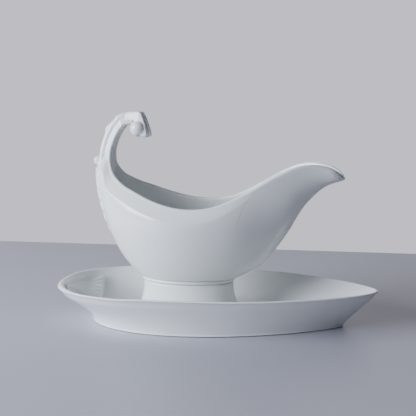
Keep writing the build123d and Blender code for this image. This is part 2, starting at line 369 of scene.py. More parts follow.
def relief(columns, rows, place):
    """Thin closed relief: place(across, along, is_top) gives the points of its two skins.

    Across runs from -1 to 1 and along from 0 to 1, and is_top picks out the upper skin.
    """
    bm = bmesh.new()
    bmesh.ops.create_grid(bm, x_segments=columns, y_segments=rows, size=1.0)
    grown = bmesh.ops.extrude_face_region(bm, geom=bm.faces[:], use_keep_orig=True)["geom"]
    top = {part for part in grown if isinstance(part, bmesh.types.BMVert)}
    verts = list(bm.verts)
    across = np.array([vert.co.x for vert in verts])
    along = np.array([(vert.co.y + 1) / 2 for vert in verts])
    is_top = np.array([vert in top for vert in verts])
    for vert, point in zip(verts, place(across, along, is_top)):
        vert.co = point
    bmesh.ops.recalc_face_normals(bm, faces=bm.faces)
    return bm


def finish_piece(node, bm, body, levels=1):
    """Turns a bmesh into the smooth, glazed piece that stands for a node and rides on a body."""
    mesh = bpy.data.meshes.new(node + "_glazed")
    bm.to_mesh(mesh)
    bm.free()
    mesh.polygons.foreach_set("use_smooth", [True] * len(mesh.polygons))
    mesh.materials.append(glazed_porcelain())
    piece = bpy.data.objects.new(node + "_glazed", mesh)
    bpy.context.scene.collection.objects.link(piece)
    smooth = piece.modifiers.new("smooth", "SUBSURF")
    smooth.levels = levels
    smooth.render_levels = levels
    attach(piece, body)
    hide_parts(node)


# ---- Materials ---------------------------------------------------------------


def linear_colour(hex_colour):
    """Linear RGBA of an sRGB hex colour."""
    parts = [int(hex_colour[index:index + 2], 16) / 255 for index in (1, 3, 5)]
    linear = [c / 12.92 if c <= 0.04045 else ((c + 0.055) / 1.055) ** 2.4 for c in parts]
    return (*linear, 1.0)


def add_node(tree, kind, values=None, links=None, **settings):
    """Adds a node, sets its properties and input values, and links its inputs."""
    node = tree.nodes.new(kind)
    for key, value in settings.items():
        setattr(node, key, value)
    for key, value in (values or {}).items():
        node.inputs[key].default_value = value
    for key, socket in (links or {}).items():
        tree.links.new(socket, node.inputs[key])
    return node


def new_material(name):
    """An empty node material and its output node."""
    material = bpy.data.materials.new(name)
    material.use_nodes = True
    material.node_tree.nodes.clear()
    output = material.node_tree.nodes.new("ShaderNodeOutputMaterial")
    return material, material.node_tree, output


def glazed_porcelain():
    """Hard-paste porcelain dipped in a clear feldspathic glaze and fired glossy.

    The glaze is a little uneven, so reflections ripple softly, it is faintly grey-green where
    it lies thick, and it holds a few pin specks.
    """
    if "glazed_porcelain" in bpy.data.materials:
        return bpy.data.materials["glazed_porcelain"]
    finish = bpy.context.scene.gravy_boat_finish
    material, tree, output = new_material("glazed_porcelain")
    place = add_node(tree, "ShaderNodeTexCoord").outputs["Object"]

    cloud = add_node(tree, "ShaderNodeTexNoise", {"Scale": 1 / finish.cloud_size, "Detail": 3.0},
                     {"Vector": place})
    body = add_node(tree, "ShaderNodeMix", {6: linear_colour(finish.glaze_colour),
                                            7: linear_colour(finish.pooled_colour)},
                    {"Factor": cloud.outputs["Fac"]}, data_type="RGBA")
    cells = add_node(tree, "ShaderNodeTexVoronoi", {"Scale": 1 / finish.speck_spacing},
                     {"Vector": place})
    speck = add_node(tree, "ShaderNodeMapRange",
                     {"From Min": 0.020, "From Max": 0.034, "To Min": 0.55, "To Max": 0.0},
                     {"Value": cells.outputs["Distance"]})
    colour = add_node(tree, "ShaderNodeMix", {7: linear_colour(finish.speck_colour)},
                      {"Factor": speck.outputs["Result"], 6: body.outputs[2]}, data_type="RGBA")

    ripple = add_node(tree, "ShaderNodeTexNoise", {"Scale": 1 / finish.ripple_size, "Detail": 1.0},
                      {"Vector": place})
    peel = add_node(tree, "ShaderNodeTexNoise", {"Scale": 1 / finish.peel_size, "Detail": 1.0},
                    {"Vector": place})
    broad = add_node(tree, "ShaderNodeBump", {"Strength": 0.35, "Distance": 0.10 * MM},
                     {"Height": ripple.outputs["Fac"]})
    fine = add_node(tree, "ShaderNodeBump", {"Strength": 0.20, "Distance": 0.010 * MM},
                    {"Height": peel.outputs["Fac"], "Normal": broad.outputs["Normal"]})
    gloss = add_node(tree, "ShaderNodeMapRange",
                     {"To Min": finish.glaze_roughness * 0.8, "To Max": finish.glaze_roughness * 1.3},
                     {"Value": cloud.outputs["Fac"]})
    shader = add_node(tree, "ShaderNodeBsdfPrincipled",
                      {"IOR": 1.58, "Subsurface Weight": 0.12, "Subsurface Scale": 1.5 * MM},
                      {"Base Color": colour.outputs[2], "Roughness": gloss.outputs["Result"],
                       "Normal": fine.outputs["Normal"]})
    tree.links.new(shader.outputs["BSDF"], output.inputs["Surface"])
    return material


def unglazed_porcelain_in_shade():
    """Porcelain wiped clean of glaze before firing, so it is matt, warm and finely grained; its
    colour is darkened as painted shade of the gap under the foot rims, and darker still in random
    patches.
    """
    if "unglazed_porcelain_in_shade" in bpy.data.materials:
        return bpy.data.materials["unglazed_porcelain_in_shade"]
    finish = bpy.context.scene.gravy_boat_finish
    material, tree, output = new_material("unglazed_porcelain_in_shade")
    place = add_node(tree, "ShaderNodeTexCoord").outputs["Object"]
    patch_size, grain_size = 6 * MM, 0.5 * MM
    patches = add_node(tree, "ShaderNodeTexNoise", {"Scale": 1 / patch_size, "Detail": 4.0},
                    {"Vector": place})
    grain = add_node(tree, "ShaderNodeTexNoise", {"Scale": 1 / grain_size, "Detail": 2.0},
                     {"Vector": place})
    # Painted shade: both clay colours are darker than bare clay, to stand for the shade in the gap
    # under the foot rims; the noise mixes them in random patches.
    colour = add_node(tree, "ShaderNodeMix", {6: linear_colour(finish.clay_and_shade_colour),
                                              7: linear_colour(finish.shaded_patch_colour)},
                      {"Factor": patches.outputs["Fac"]}, data_type="RGBA")
    bump = add_node(tree, "ShaderNodeBump", {"Strength": 0.5, "Distance": 0.05 * MM},
                    {"Height": grain.outputs["Fac"]})
    shader = add_node(tree, "ShaderNodeBsdfPrincipled", {"Roughness": 0.8, "IOR": 1.5},
                      {"Base Color": colour.outputs[2], "Normal": bump.outputs["Normal"]})
    tree.links.new(shader.outputs["BSDF"], output.inputs["Surface"])
    return material


# ---- Sizes and colours that a user would change ------------------------------


class GravyBoatSizes(bpy.types.PropertyGroup):
    """Sizes of the boat that the frame leaves open."""

    wall: bpy.props.FloatProperty(
        name="Wall", description="Thickness of the bowl's wall", default=3.3 * MM, unit="LENGTH")
    shoulder_drop: bpy.props.FloatProperty(
        name="Shoulder drop", description="Rim to the crease below it", default=8.6 * MM,
        unit="LENGTH")
    shoulder_swell: bpy.props.FloatProperty(
        name="Shoulder swell", description="How far the crease stands out", default=3.6 * MM,
        unit="LENGTH")
    handle_depth: bpy.props.FloatProperty(
        name="Handle depth", description="Spine to inner face where the handle leaves the rim",
        default=13.0 * MM, unit="LENGTH")
    handle_width: bpy.props.FloatProperty(
        name="Handle width", description="Rib to rib where the handle leaves the rim",
        default=HANDLE_HIGH.y - HANDLE_LOW.y, unit="LENGTH")
    leaf_relief: bpy.props.FloatProperty(
        name="Leaf relief", description="How far the back leaf stands out", default=1.8 * MM,
        unit="LENGTH")


class GravyStandSizes(bpy.types.PropertyGroup):
    """Sizes of the stand that the frame leaves open."""

    wall: bpy.props.FloatProperty(
        name="Wall", description="Thickness of the stand's wall", default=3.2 * MM, unit="LENGTH")
    lip: bpy.props.FloatProperty(
        name="Lip", description="Thickness of the rounded lip", default=2.3 * MM, unit="LENGTH")
    lip_bead: bpy.props.FloatProperty(
        name="Lip bead", description="How far the lip stands proud of the wall below it",
        default=0.55 * MM, unit="LENGTH")
    shell_lip: bpy.props.FloatProperty(
        name="Shell lip", description="Extra thickness of the lip round the shell",
        default=2.8 * MM, unit="LENGTH")
    rim_bow: bpy.props.FloatProperty(
        name="Rim bow", description="How far the rim rises towards its middle", default=1.1 * MM,
        unit="LENGTH")
    rim_wave: bpy.props.FloatProperty(
        name="Rim wave", description="Slight wave of the hand-finished near rim", default=0.8 * MM,
        unit="LENGTH")
    floor_round: bpy.props.FloatProperty(
        name="Floor round", description="Radius between wall and floor", default=6.0 * MM,
        unit="LENGTH")
    shell_ribs: bpy.props.IntProperty(
        name="Shell ribs", description="Ribs that fan out across the shell", default=15)
    shell_relief: bpy.props.FloatProperty(
        name="Shell relief", description="Thickness of the shell at its scalloped edge",
        default=4.8 * MM, unit="LENGTH")


class GravyBoatFinish(bpy.types.PropertyGroup):
    """Colours and scales of the glaze and the bare clay; the clay's colours are darkened as painted
    shade.
    """

    glaze_colour: bpy.props.StringProperty(
        name="Glaze", description="Colour of the thin glaze, sRGB hex", default="#DDE0D6")
    pooled_colour: bpy.props.StringProperty(
        name="Pooled glaze", description="Colour where the glaze lies thick", default="#CBD2C4")
    speck_colour: bpy.props.StringProperty(
        name="Specks", description="Colour of the pin specks", default="#8E8B80")
    # Painted shade: the two clay colours are darkened to stand for the shade in the gap under the
    # foot rims, the second one in random darker patches.
    clay_and_shade_colour: bpy.props.StringProperty(
        name="Bare clay", description="Colour of the unglazed rims", default="#A89F8F")
    shaded_patch_colour: bpy.props.StringProperty(
        name="Soiled clay", description="Colour of the rims where they are worn", default="#7A7264")
    glaze_roughness: bpy.props.FloatProperty(
        name="Glaze roughness", description="Blur of the reflections", default=0.085, min=0, max=1)
    cloud_size: bpy.props.FloatProperty(
        name="Cloud size", description="Size of the tone patches", default=38 * MM, unit="LENGTH")
    ripple_size: bpy.props.FloatProperty(
        name="Ripple size", description="Size of the glaze's ripples", default=16 * MM,
        unit="LENGTH")
    peel_size: bpy.props.FloatProperty(
        name="Peel size", description="Size of the fine unevenness", default=1.8 * MM,
        unit="LENGTH")
    speck_spacing: bpy.props.FloatProperty(
        name="Speck spacing", description="Usual distance between specks", default=11 * MM,
        unit="LENGTH")


class GravyBoatStage(bpy.types.PropertyGroup):
    """Camera, floor and light."""

    camera_azimuth: bpy.props.FloatProperty(
        name="Azimuth", description="Camera round from the near side towards the spout",
        default=radians(10.3), subtype="ANGLE")
    camera_pitch: bpy.props.FloatProperty(
        name="Pitch", description="Camera's tilt below the horizon", default=radians(7.26),
        subtype="ANGLE")
    camera_distance: bpy.props.FloatProperty(
        name="Distance", description="Camera to its aim", default=0.643, unit="LENGTH")
    camera_aim: bpy.props.FloatVectorProperty(
        name="Aim", description="Point that the camera looks at",
        default=(-0.0063, 0.0, 0.0852), unit="LENGTH")
    lens: bpy.props.FloatProperty(
        name="Lens", description="Focal length in mm", default=50.0)
    sensor_width: bpy.props.FloatProperty(
        name="Sensor width", description="Width of the camera's sensor in mm", default=24.0)
    floor_colour: bpy.props.StringProperty(
        name="Floor", description="Colour of the floor, sRGB hex", default="#B0AFB9")
    backdrop_colour: bpy.props.StringProperty(
        name="Backdrop", description="Colour behind the floor, sRGB hex", default="#EBEAF5")
    room_colour: bpy.props.StringProperty(
        name="Room", description="Colour of the dim rest of the room, sRGB hex", default="#525357")
    below_colour: bpy.props.StringProperty(
        name="Below", description="Colour past the floor's edge, sRGB hex", default="#A0A0A6")
    room_strength: bpy.props.FloatProperty(
        name="Room strength", description="Brightness of the room", default=1.0)
    daylight_colour: bpy.props.StringProperty(
        name="Daylight", description="Colour of both lights, sRGB hex", default="#EAF1FF")
    skylight_power: bpy.props.FloatProperty(
        name="Skylight", description="Power of the soft light from above and behind, in watts",
        default=0.6)
    window_power: bpy.props.FloatProperty(
        name="Window", description="Power of the window light in watts", default=36.5)


# ---- Boat --------------------------------------------------------------------


def rim_stations(count):
    """Turn and height of even stations round the rim, and the turn of each at the seat."""
    turn, height = rim_curve()
    x, y = bowl_plan(turn, height)
    steps = distance_along(np.stack([x, y, height], -1))
    even = np.linspace(0, steps[-1], count // 2 + 1)
    half_turn = np.interp(even, steps, turn)
    half_turn[0], half_turn[-1] = 0.0, pi
    half_height = np.interp(even, steps, height)
    half_seat = np.linspace(0, pi, count // 2 + 1)
    turns = np.concatenate([half_turn, 2 * pi - half_turn[-2:0:-1]])
    seats = np.concatenate([half_seat, 2 * pi - half_seat[-2:0:-1]])
    return turns, np.concatenate([half_height, half_height[-2:0:-1]]), seats


def turn_at(height, top, rim_turn, seat_turn):
    """Turn of a station's line at a height: its seat turn low down, its rim turn near the rim."""
    all_rim = 0.86
    share = smooth_step(height / top, 0.0, all_rim)
    return seat_turn + (rim_turn - seat_turn) * share


def outer_wall(turn, top, seat, distances, rows_below, drop, swell):
    """One profile of the outer wall, from the seat to the rim, with the shoulder's swell."""
    heights = np.linspace(0, top, FINE)
    x, y = bowl_plan(turn_at(heights, top, turn, seat), heights)
    wall = np.stack([x, y, SEAT_Z + heights], -1)
    length = run_length(wall)
    below = np.linspace(0, length - distances[-1], rows_below, endpoint=False)
    places = np.concatenate([below, length - np.array(distances[::-1])])
    points = spread(wall, places)
    from_rim = length - places
    fade, fade_power = 3.2 * drop, 1.2
    crease = np.where(
        from_rim < drop,
        np.clip(from_rim / drop, 0, 1),
        np.exp(-np.clip((from_rim - drop) / fade, 0, None) ** fade_power),
    )
    at_rear = 1 - smooth_step(points[:, 0], SHOULDER_FULL, SHOULDER_GONE)
    up = points[:, 2] - SEAT_Z
    normal = bowl_normal(turn_at(up, top, turn, seat), up)
    return points + normal * (swell * crease * at_rear)[:, None]


class GRAVY_OT_bowl(bpy.types.Operator):
    """Models the bowl: outer wall with its shoulder, rounded rim, inner wall and floor"""

    bl_idname = "gravy.bowl"
    bl_label = "Bowl"

    def execute(self, context):
        sizes = context.scene.gravy_boat_sizes
        wall, drop = sizes.wall, sizes.shoulder_drop
        stations, rows_below, inner_rows = 132, 22, 24
        turns, tops, seats = rim_stations(stations)
        # Loops below the rim in mm, and about the crease, where close ones keep it crisp
        distances = [down * MM for down in (0, 1, 2.4, 4.2, 6)]
        distances += [drop + down * MM for down in (-0.9, 0, 0.9, 2.4, 5.4, 9)]
        outer = np.stack([
            outer_wall(turn, top, seat, distances, rows_below, drop, sizes.shoulder_swell)
            for turn, top, seat in zip(turns, tops, seats)
        ], 1)

        rim = outer[-1]
        tangent = np.roll(rim, -1, 0) - np.roll(rim, 1, 0)
        tangent /= np.linalg.norm(tangent, axis=1, keepdims=True)
        outward = bowl_normal(turns, rim[:, 2] - SEAT_Z)
        outward -= tangent * (outward * tangent).sum(1, keepdims=True)
        outward /= np.linalg.norm(outward, axis=1, keepdims=True)
        crest = np.cross(outward, tangent)
        crest *= np.sign(crest[:, 2:3] + TINY)
        lip = [
            rim + outward * (wall / 2) * (cos(angle) - 1) + crest * (wall / 2) * sin(angle)
            for angle in (radians(a) for a in (25, 55, 90, 125, 155, 180))
        ]

        # The inner wall leaves the lip's edge and joins its own plan lines within this distance
        joined_by = 9 * MM
        inner = []
        for edge, turn, seat in zip(lip[-1], turns, seats):
            top = edge[2] - SEAT_Z
            heights = np.linspace(top, wall, FINE)
            x, y = bowl_plan(turn_at(heights, top, turn, seat), heights, wall)
            face = np.stack([x, y, SEAT_Z + heights], -1)
            face += (edge - face[0]) * np.exp(-(distance_along(face) / joined_by) ** 2)[:, None]
            inner.append(spread(face, np.linspace(0, run_length(face), inner_rows + 1)[1:]))
        inner = np.stack(inner, 1)

        floor_dip = 1.2 * MM
        centre = np.array([FOOT_X, 0, SEAT_Z + wall - floor_dip])
        floors = []
        for share in (0.86, 0.68, 0.45, 0.22):
            ring = centre + (inner[-1] - centre) * share
            ring[:, 2] = centre[2] + (inner[-1][:, 2] - centre[2]) * share ** 2
            floors.append(ring)
        seat = np.array([FOOT_X, 0, SEAT_Z])
        under = [seat + (outer[0] - seat) * share for share in (0.4, 0.85)]
        rings = under + list(outer) + lip + list(inner) + floors
        bm = loft(rings, start=seat, end=centre)
        finish_piece("bowl", bm, "boat")
        return {"FINISHED"}


def ellipse_ring(centre, half_length, half_width, count=96):
    """Points of a level ellipse, starting from its spout end."""
    turns = np.linspace(0, 2 * pi, count, endpoint=False)
    return np.stack([
        centre[0] + half_length * np.cos(turns),
        centre[1] + half_width * np.sin(turns),
        np.full(count, centre[2]),
    ], -1)


class GRAVY_OT_foot(bpy.types.Operator):
    """Models the hollow pedestal foot with its concave flare, and the bead of the collar"""

    bl_idname = "gravy.foot"
    bl_label = "Foot and collar"

    def execute(self, context):
        wall, waist_inset, bead_inset = 4 * MM, 1.7 * MM, 0.4 * MM
        height = FOOT_HIGH.z - FOOT_LOW.z
        base_length, base_width = (FOOT_HIGH.x - FOOT_LOW.x) / 2, (FOOT_HIGH.y - FOOT_LOW.y) / 2
        collar_length = (COLLAR_HIGH.x - COLLAR_LOW.x) / 2
        collar_width = (COLLAR_HIGH.y - COLLAR_LOW.y) / 2
        waist_length, waist_width = collar_length - waist_inset, collar_width - waist_inset
        rings = []
        for inset, shares in ((0, np.linspace(0, 1, 16)), (wall, np.linspace(1, 0, 12))):
            for share in shares:
                out = float(foot_flare(share)[0])
                centre = (FOOT_X, 0, FOOT_LOW.z + height * share)
                rings.append(ellipse_ring(
                    centre,
                    waist_length + (base_length - waist_length) * out - inset,
                    waist_width + (base_width - waist_width) * out - inset))
        # Rolled edge of the base, in mm out and down
        for out, down in ((-0.9, 0.0), (-0.1, 0.05), (0.12, 0.35), (0.28, 0.42), (0.34, 0.2)):
            centre = (FOOT_X, 0, FOOT_LOW.z - down * MM)
            rings.append(ellipse_ring(centre, base_length + out * MM, base_width + out * MM))
        rings.append(rings[0])
        bm = loft(rings)
        bmesh.ops.remove_doubles(bm, verts=bm.verts, dist=0.001 * MM)
        bmesh.ops.recalc_face_normals(bm, faces=bm.faces)
        finish_piece("pedestal_foot", bm, "boat")

        bead = (COLLAR_HIGH.z - COLLAR_LOW.z) / 2
        middle = (COLLAR_HIGH.z + COLLAR_LOW.z) / 2
        rings = []
        for angle in np.linspace(-pi / 2, pi / 2, 9):
            reach = bead * cos(angle)
            centre = (FOOT_X, 0, middle + bead * sin(angle))
            rings.append(ellipse_ring(
                centre,
                collar_length - bead - bead_inset + reach,
                collar_width - bead - bead_inset + reach))
        bm = loft(rings, start=(FOOT_X, 0, COLLAR_LOW.z), end=(FOOT_X, 0, COLLAR_HIGH.z))
        finish_piece("foot_collar", bm, "boat")
        return {"FINISHED"}


def handle_place(share, sizes):
    """Centre, way out to the back, half depth and half width of the handle at a share of its rise."""
    along, up = HANDLE_ROOT
    root = np.array([FOOT_X + BOWL_LENGTH * along, 0, SEAT_Z + BOWL_HEIGHT * up])
    reach = (BOSS_LOW.x + BOSS_HIGH.x) / 2 - root[0]
    rise = HANDLE_HIGH.z - SPINE_ABOVE - root[2]

    def centre(at):
        line = handle_lines(at)
        return root + np.array([reach * line[0], 0, rise * at])

    line = handle_lines(share)
    ahead = centre(share + STEP) - centre(share - STEP)
    if share > HANDLE_LINES[-1][0]:
        ahead = np.array([1.0, 0, 0.0])
    ahead /= np.linalg.norm(ahead)
    out = np.array([-ahead[2], 0, ahead[0]])
    return centre(share), out, sizes.handle_depth / 2 * line[1], sizes.handle_width / 2 * line[2]


class GRAVY_OT_handle(bpy.types.Operator):
    """Models the swan-neck handle: a spine, a flute and a rib on each side, and a channelled face"""

    bl_idname = "gravy.handle"
    bl_label = "Handle"

    def execute(self, context):
        sizes = context.scene.gravy_boat_sizes
        section = HANDLE_SECTION + tuple((-across, out) for across, out in HANDLE_SECTION[-2:0:-1])
        loops, crowding = 46, 1.9                  # the loops crowd towards the curl
        shares = 1 - (1 - np.linspace(0, 1, loops)) ** crowding * (1 - HANDLE_LINES[0][0])
        rings = []
        for share in shares:
            centre, out, depth, width = handle_place(float(share), sizes)
            rings.append([
                centre + np.array([0, width * across, 0]) + out * depth * back
                for across, back in section
            ])
        bm = loft(rings, start=np.mean(rings[0], axis=0), end=np.mean(rings[-1], axis=0))
        finish_piece("handle", bm, "boat")
        return {"FINISHED"}


class GRAVY_OT_buds(bpy.types.Operator):
    """Models the round knob and the leaf bud on the back of the handle"""

    bl_idname = "gravy.buds"
    bl_label = "Handle buds"

    def execute(self, context):
        sizes = context.scene.gravy_boat_sizes
        bm = bmesh.new()
        for share, *sizes_in_mm in BUDS:
            across, along, thick, proud = (size * MM for size in sizes_in_mm)
            centre, out, depth, _ = handle_place(share, sizes)
            depth += proud
            place = Matrix((
                (out[2] * along, 0, out[0] * thick, centre[0] + out[0] * depth),
                (0, across, 0, 0),
                (-out[0] * along, 0, out[2] * thick, centre[2] + out[2] * depth),
                (0, 0, 0, 1),
            ))
            bmesh.ops.create_uvsphere(bm, u_segments=16, v_segments=10, radius=1.0, matrix=place)
        bmesh.ops.recalc_face_normals(bm, faces=bm.faces)
        finish_piece("handle_buds", bm, "boat")
        return {"FINISHED"}


class GRAVY_OT_boss(bpy.types.Operator):
    """Models the roll under the end of the curl, with domed ends"""

    bl_idname = "gravy.boss"
    bl_label = "Scroll boss"

    def execute(self, context):
        # The roll is drawn fuller than its clay core, forward of it and past the hood's sides
        forward, down, fuller, prouder = 4.0 * MM, 0.4 * MM, 1.1 * MM, 2.4 * MM
        segments, waist, waist_share = 24, 0.12, 0.22
        centre = (BOSS_LOW + BOSS_HIGH) / 2 + Vector((forward, 0, -down))
        radius = (BOSS_HIGH.z - BOSS_LOW.z) / 2 + fuller
        half = (BOSS_HIGH.y - BOSS_LOW.y) / 2 + prouder
        ball_at = half - radius                    # middle of each end's ball
        turns = np.linspace(0, 2 * pi, segments, endpoint=False)
        rings = []
        for place in half * np.sin(np.linspace(-pi / 2, pi / 2, 31))[1:-1]:
            beyond = max(abs(place) - ball_at, 0) / radius
            around = radius * (1 - beyond ** 2) ** 0.5
            around *= 1 - waist * np.exp(-(place / (waist_share * half)) ** 2)
            rings.append(np.stack([
                centre.x + around * np.cos(turns),
                np.full(segments, centre.y + place),
                centre.z + around * np.sin(turns),
            ], -1))
        bm = loft(rings, start=(centre.x, -half, centre.z), end=(centre.x, half, centre.z))
        finish_piece("scroll_boss", bm, "boat")
        return {"FINISHED"}


class GRAVY_OT_tip_leaf(bpy.types.Operator):
    """Models the leaf that caps the curl: a hood with a wide foot and a raised midrib"""

    bl_idname = "gravy.tip_leaf"
    bl_label = "Tip leaf"

    def execute(self, context):
        corner_back, hollow_depth = 5.4 * MM, 1.5 * MM
        corner = np.array([TIP_HIGH.x - corner_back, 0, TIP_HIGH.z])
        side = np.array([(ahead * MM, 0, up * MM) for ahead, up in HOOD_PROFILE])
        middle = side.mean(axis=0)
        drop = side[:, 2] / side[:, 2].min()
        flare = smooth_step(side[:, 0], -13.0 * MM, -1.0 * MM)
        half_width = (3.9 + 2.0 * flare + 2.3 * drop) * MM
        # Rings from the middle to a side, and how much each draws in to round the side's edge
        half_rings = ((0.18, 1), (0.40, 1), (0.62, 1), (0.84, 1), (0.97, 0.93), (1.0, 0.80))
        rings = []
        for across, shrink in (*((-a, b) for a, b in half_rings[::-1]), (0.0, 1), *half_rings):
            ring = middle + (side - middle) * shrink
            ring[:, 1] = half_width * across
            # A hollow down each half of the front leaves the midrib standing between them
            hollow = hollow_depth * np.exp(-((abs(across) - 0.50) / 0.26) ** 2)
            ring[HOOD_FRONT, 0] -= hollow * np.sin(np.linspace(0.15, 0.9, 6) * pi)
            rings.append(corner + ring)
        bm = loft(rings, start=np.mean(rings[0], axis=0), end=np.mean(rings[-1], axis=0))
        finish_piece("tip_leaf", bm, "boat", levels=2)
        return {"FINISHED"}


class GRAVY_OT_rear_leaf(bpy.types.Operator):
    """Models the leaf sprig down the back of the bowl: midrib, veins and a lobed edge"""

    bl_idname = "gravy.rear_leaf"
    bl_label = "Rear leaf"

    def execute(self, context):
        sizes = context.scene.gravy_boat_sizes
        top, bottom = LEAF_HIGH.z + 3 * MM, LEAF_LOW.z
        widest = (LEAF_HIGH.y - LEAF_LOW.y) / 2
        outline = curve_through(
            ((0.0, 0.50), (0.15, 0.82), (0.35, 1.0), (0.60, 0.80), (0.82, 0.45), (1.0, 0.06)))
        turns = np.linspace(pi / 2, 3 * pi / 2, 721)
        lobes, lobe_depth = 7, 0.22
        edge_sunk, back_sunk = 0.15 * MM, 1.2 * MM    # both bed the leaf in the bowl's wall
        swell_reach, swell_power = 32 * MM, 1.2

        def place(across, along, is_top):
            down = 1 - along
            lobe = 1 - lobe_depth * np.cos(down * lobes * pi) ** 4
            y = -widest * outline(down)[..., 0] * lobe * across
            height = top + (bottom - top) * down - SEAT_Z
            _, wall_y = bowl_plan(turns[None, :], height[:, None])
            turn = np.array([np.interp(-want, -row, turns) for want, row in zip(y, wall_y)])
            wall_x, wall_y = bowl_plan(turn, height)
            rim_turn, rim_up = rim_curve()
            half_turn = np.where(turn > pi, 2 * pi - turn, turn)
            from_rim = np.clip(np.interp(half_turn, rim_turn, rim_up) - height, 0, None)
            swell = sizes.shoulder_swell * np.exp(-(from_rim / swell_reach) ** swell_power)
            edge = 1 - smooth_step(abs(across), 0.80, 1.0)
            ends = smooth_step(down, 0.0, 0.12) * (1 - smooth_step(down, 0.96, 1.0))
            veins = 0.17 * np.cos((abs(across) * 1.6 - down * lobes * 0.5) * 4 * pi)
            midrib = 0.42 * np.exp(-(across / 0.13) ** 2)
            low_top = 0.55 + 0.45 * smooth_step(down, 0.1, 0.4)
            low_tip = 1 - 0.35 * smooth_step(down, 0.7, 1.0)
            rise = sizes.leaf_relief * (0.62 + veins + midrib) * edge * ends * low_tip * low_top
            skin = np.where(is_top, rise - edge_sunk, -back_sunk) + swell
            wall = np.stack([wall_x, wall_y, height + SEAT_Z], -1)
            return wall + bowl_normal(turn, height) * skin[:, None]

        bm = relief(40, 110, place)
        finish_piece("rear_leaf", bm, "boat")
        return {"FINISHED"}


# ---- Stand -------------------------------------------------------------------


def stand_plan(turn, height, inset=0.0):
    """Plan position on the stand's wall at a height above the table, drawn in by an inset."""
    turn, height = np.broadcast_arrays(turn, height)
    share = (height - RIM_HIGH.z) / (DISH_HIGH.z - RIM_HIGH.z)
    line = stand_lines(share)
    flare = DISH_HALF_LENGTH - BASE_HALF_LENGTH
    return pointed_oval(
        turn,
        -BASE_HALF_LENGTH - flare * line[..., 0] + inset,
        BASE_HALF_LENGTH + flare * line[..., 1] - inset,
        BASE_HALF_WIDTH + (DISH_HALF_WIDTH - BASE_HALF_WIDTH) * line[..., 2] - inset,
        line[..., 3],
        line[..., 4],
        STAND_BLUNTING,
    )


def inner_wall_height(x, y, inset):
    """Height of the stand's inner wall above places in its plan.

    It goes down level by level, and between the last level whose outline holds a place and the
    next, which doesn't, it shares out the step.
    """
    heights = np.linspace(DISH_HIGH.z, STAND_FLOOR, 70)
    turns = np.linspace(0, pi, 361)
    outside = -1.0
    reached = np.full(x.shape, DISH_HIGH.z)
    room_above = np.full(x.shape, np.nan)
    for height in heights:
        wall_x, wall_y = stand_plan(turns, height, inset)
        room = np.interp(x, wall_x[::-1], wall_y[::-1], left=outside, right=outside) - abs(y)
        inside = room >= 0
        reached = np.where(inside, height, reached)
        crossing = ~inside & (room_above >= 0) & (room > outside / 2)
        share = np.where(crossing, -room / np.where(crossing, room_above - room, 1.0), 0.0)
        reached = np.where(crossing, height + (heights[0] - heights[1]) * share, reached)
        room_above = np.where(inside, room, np.nan)
    return reached


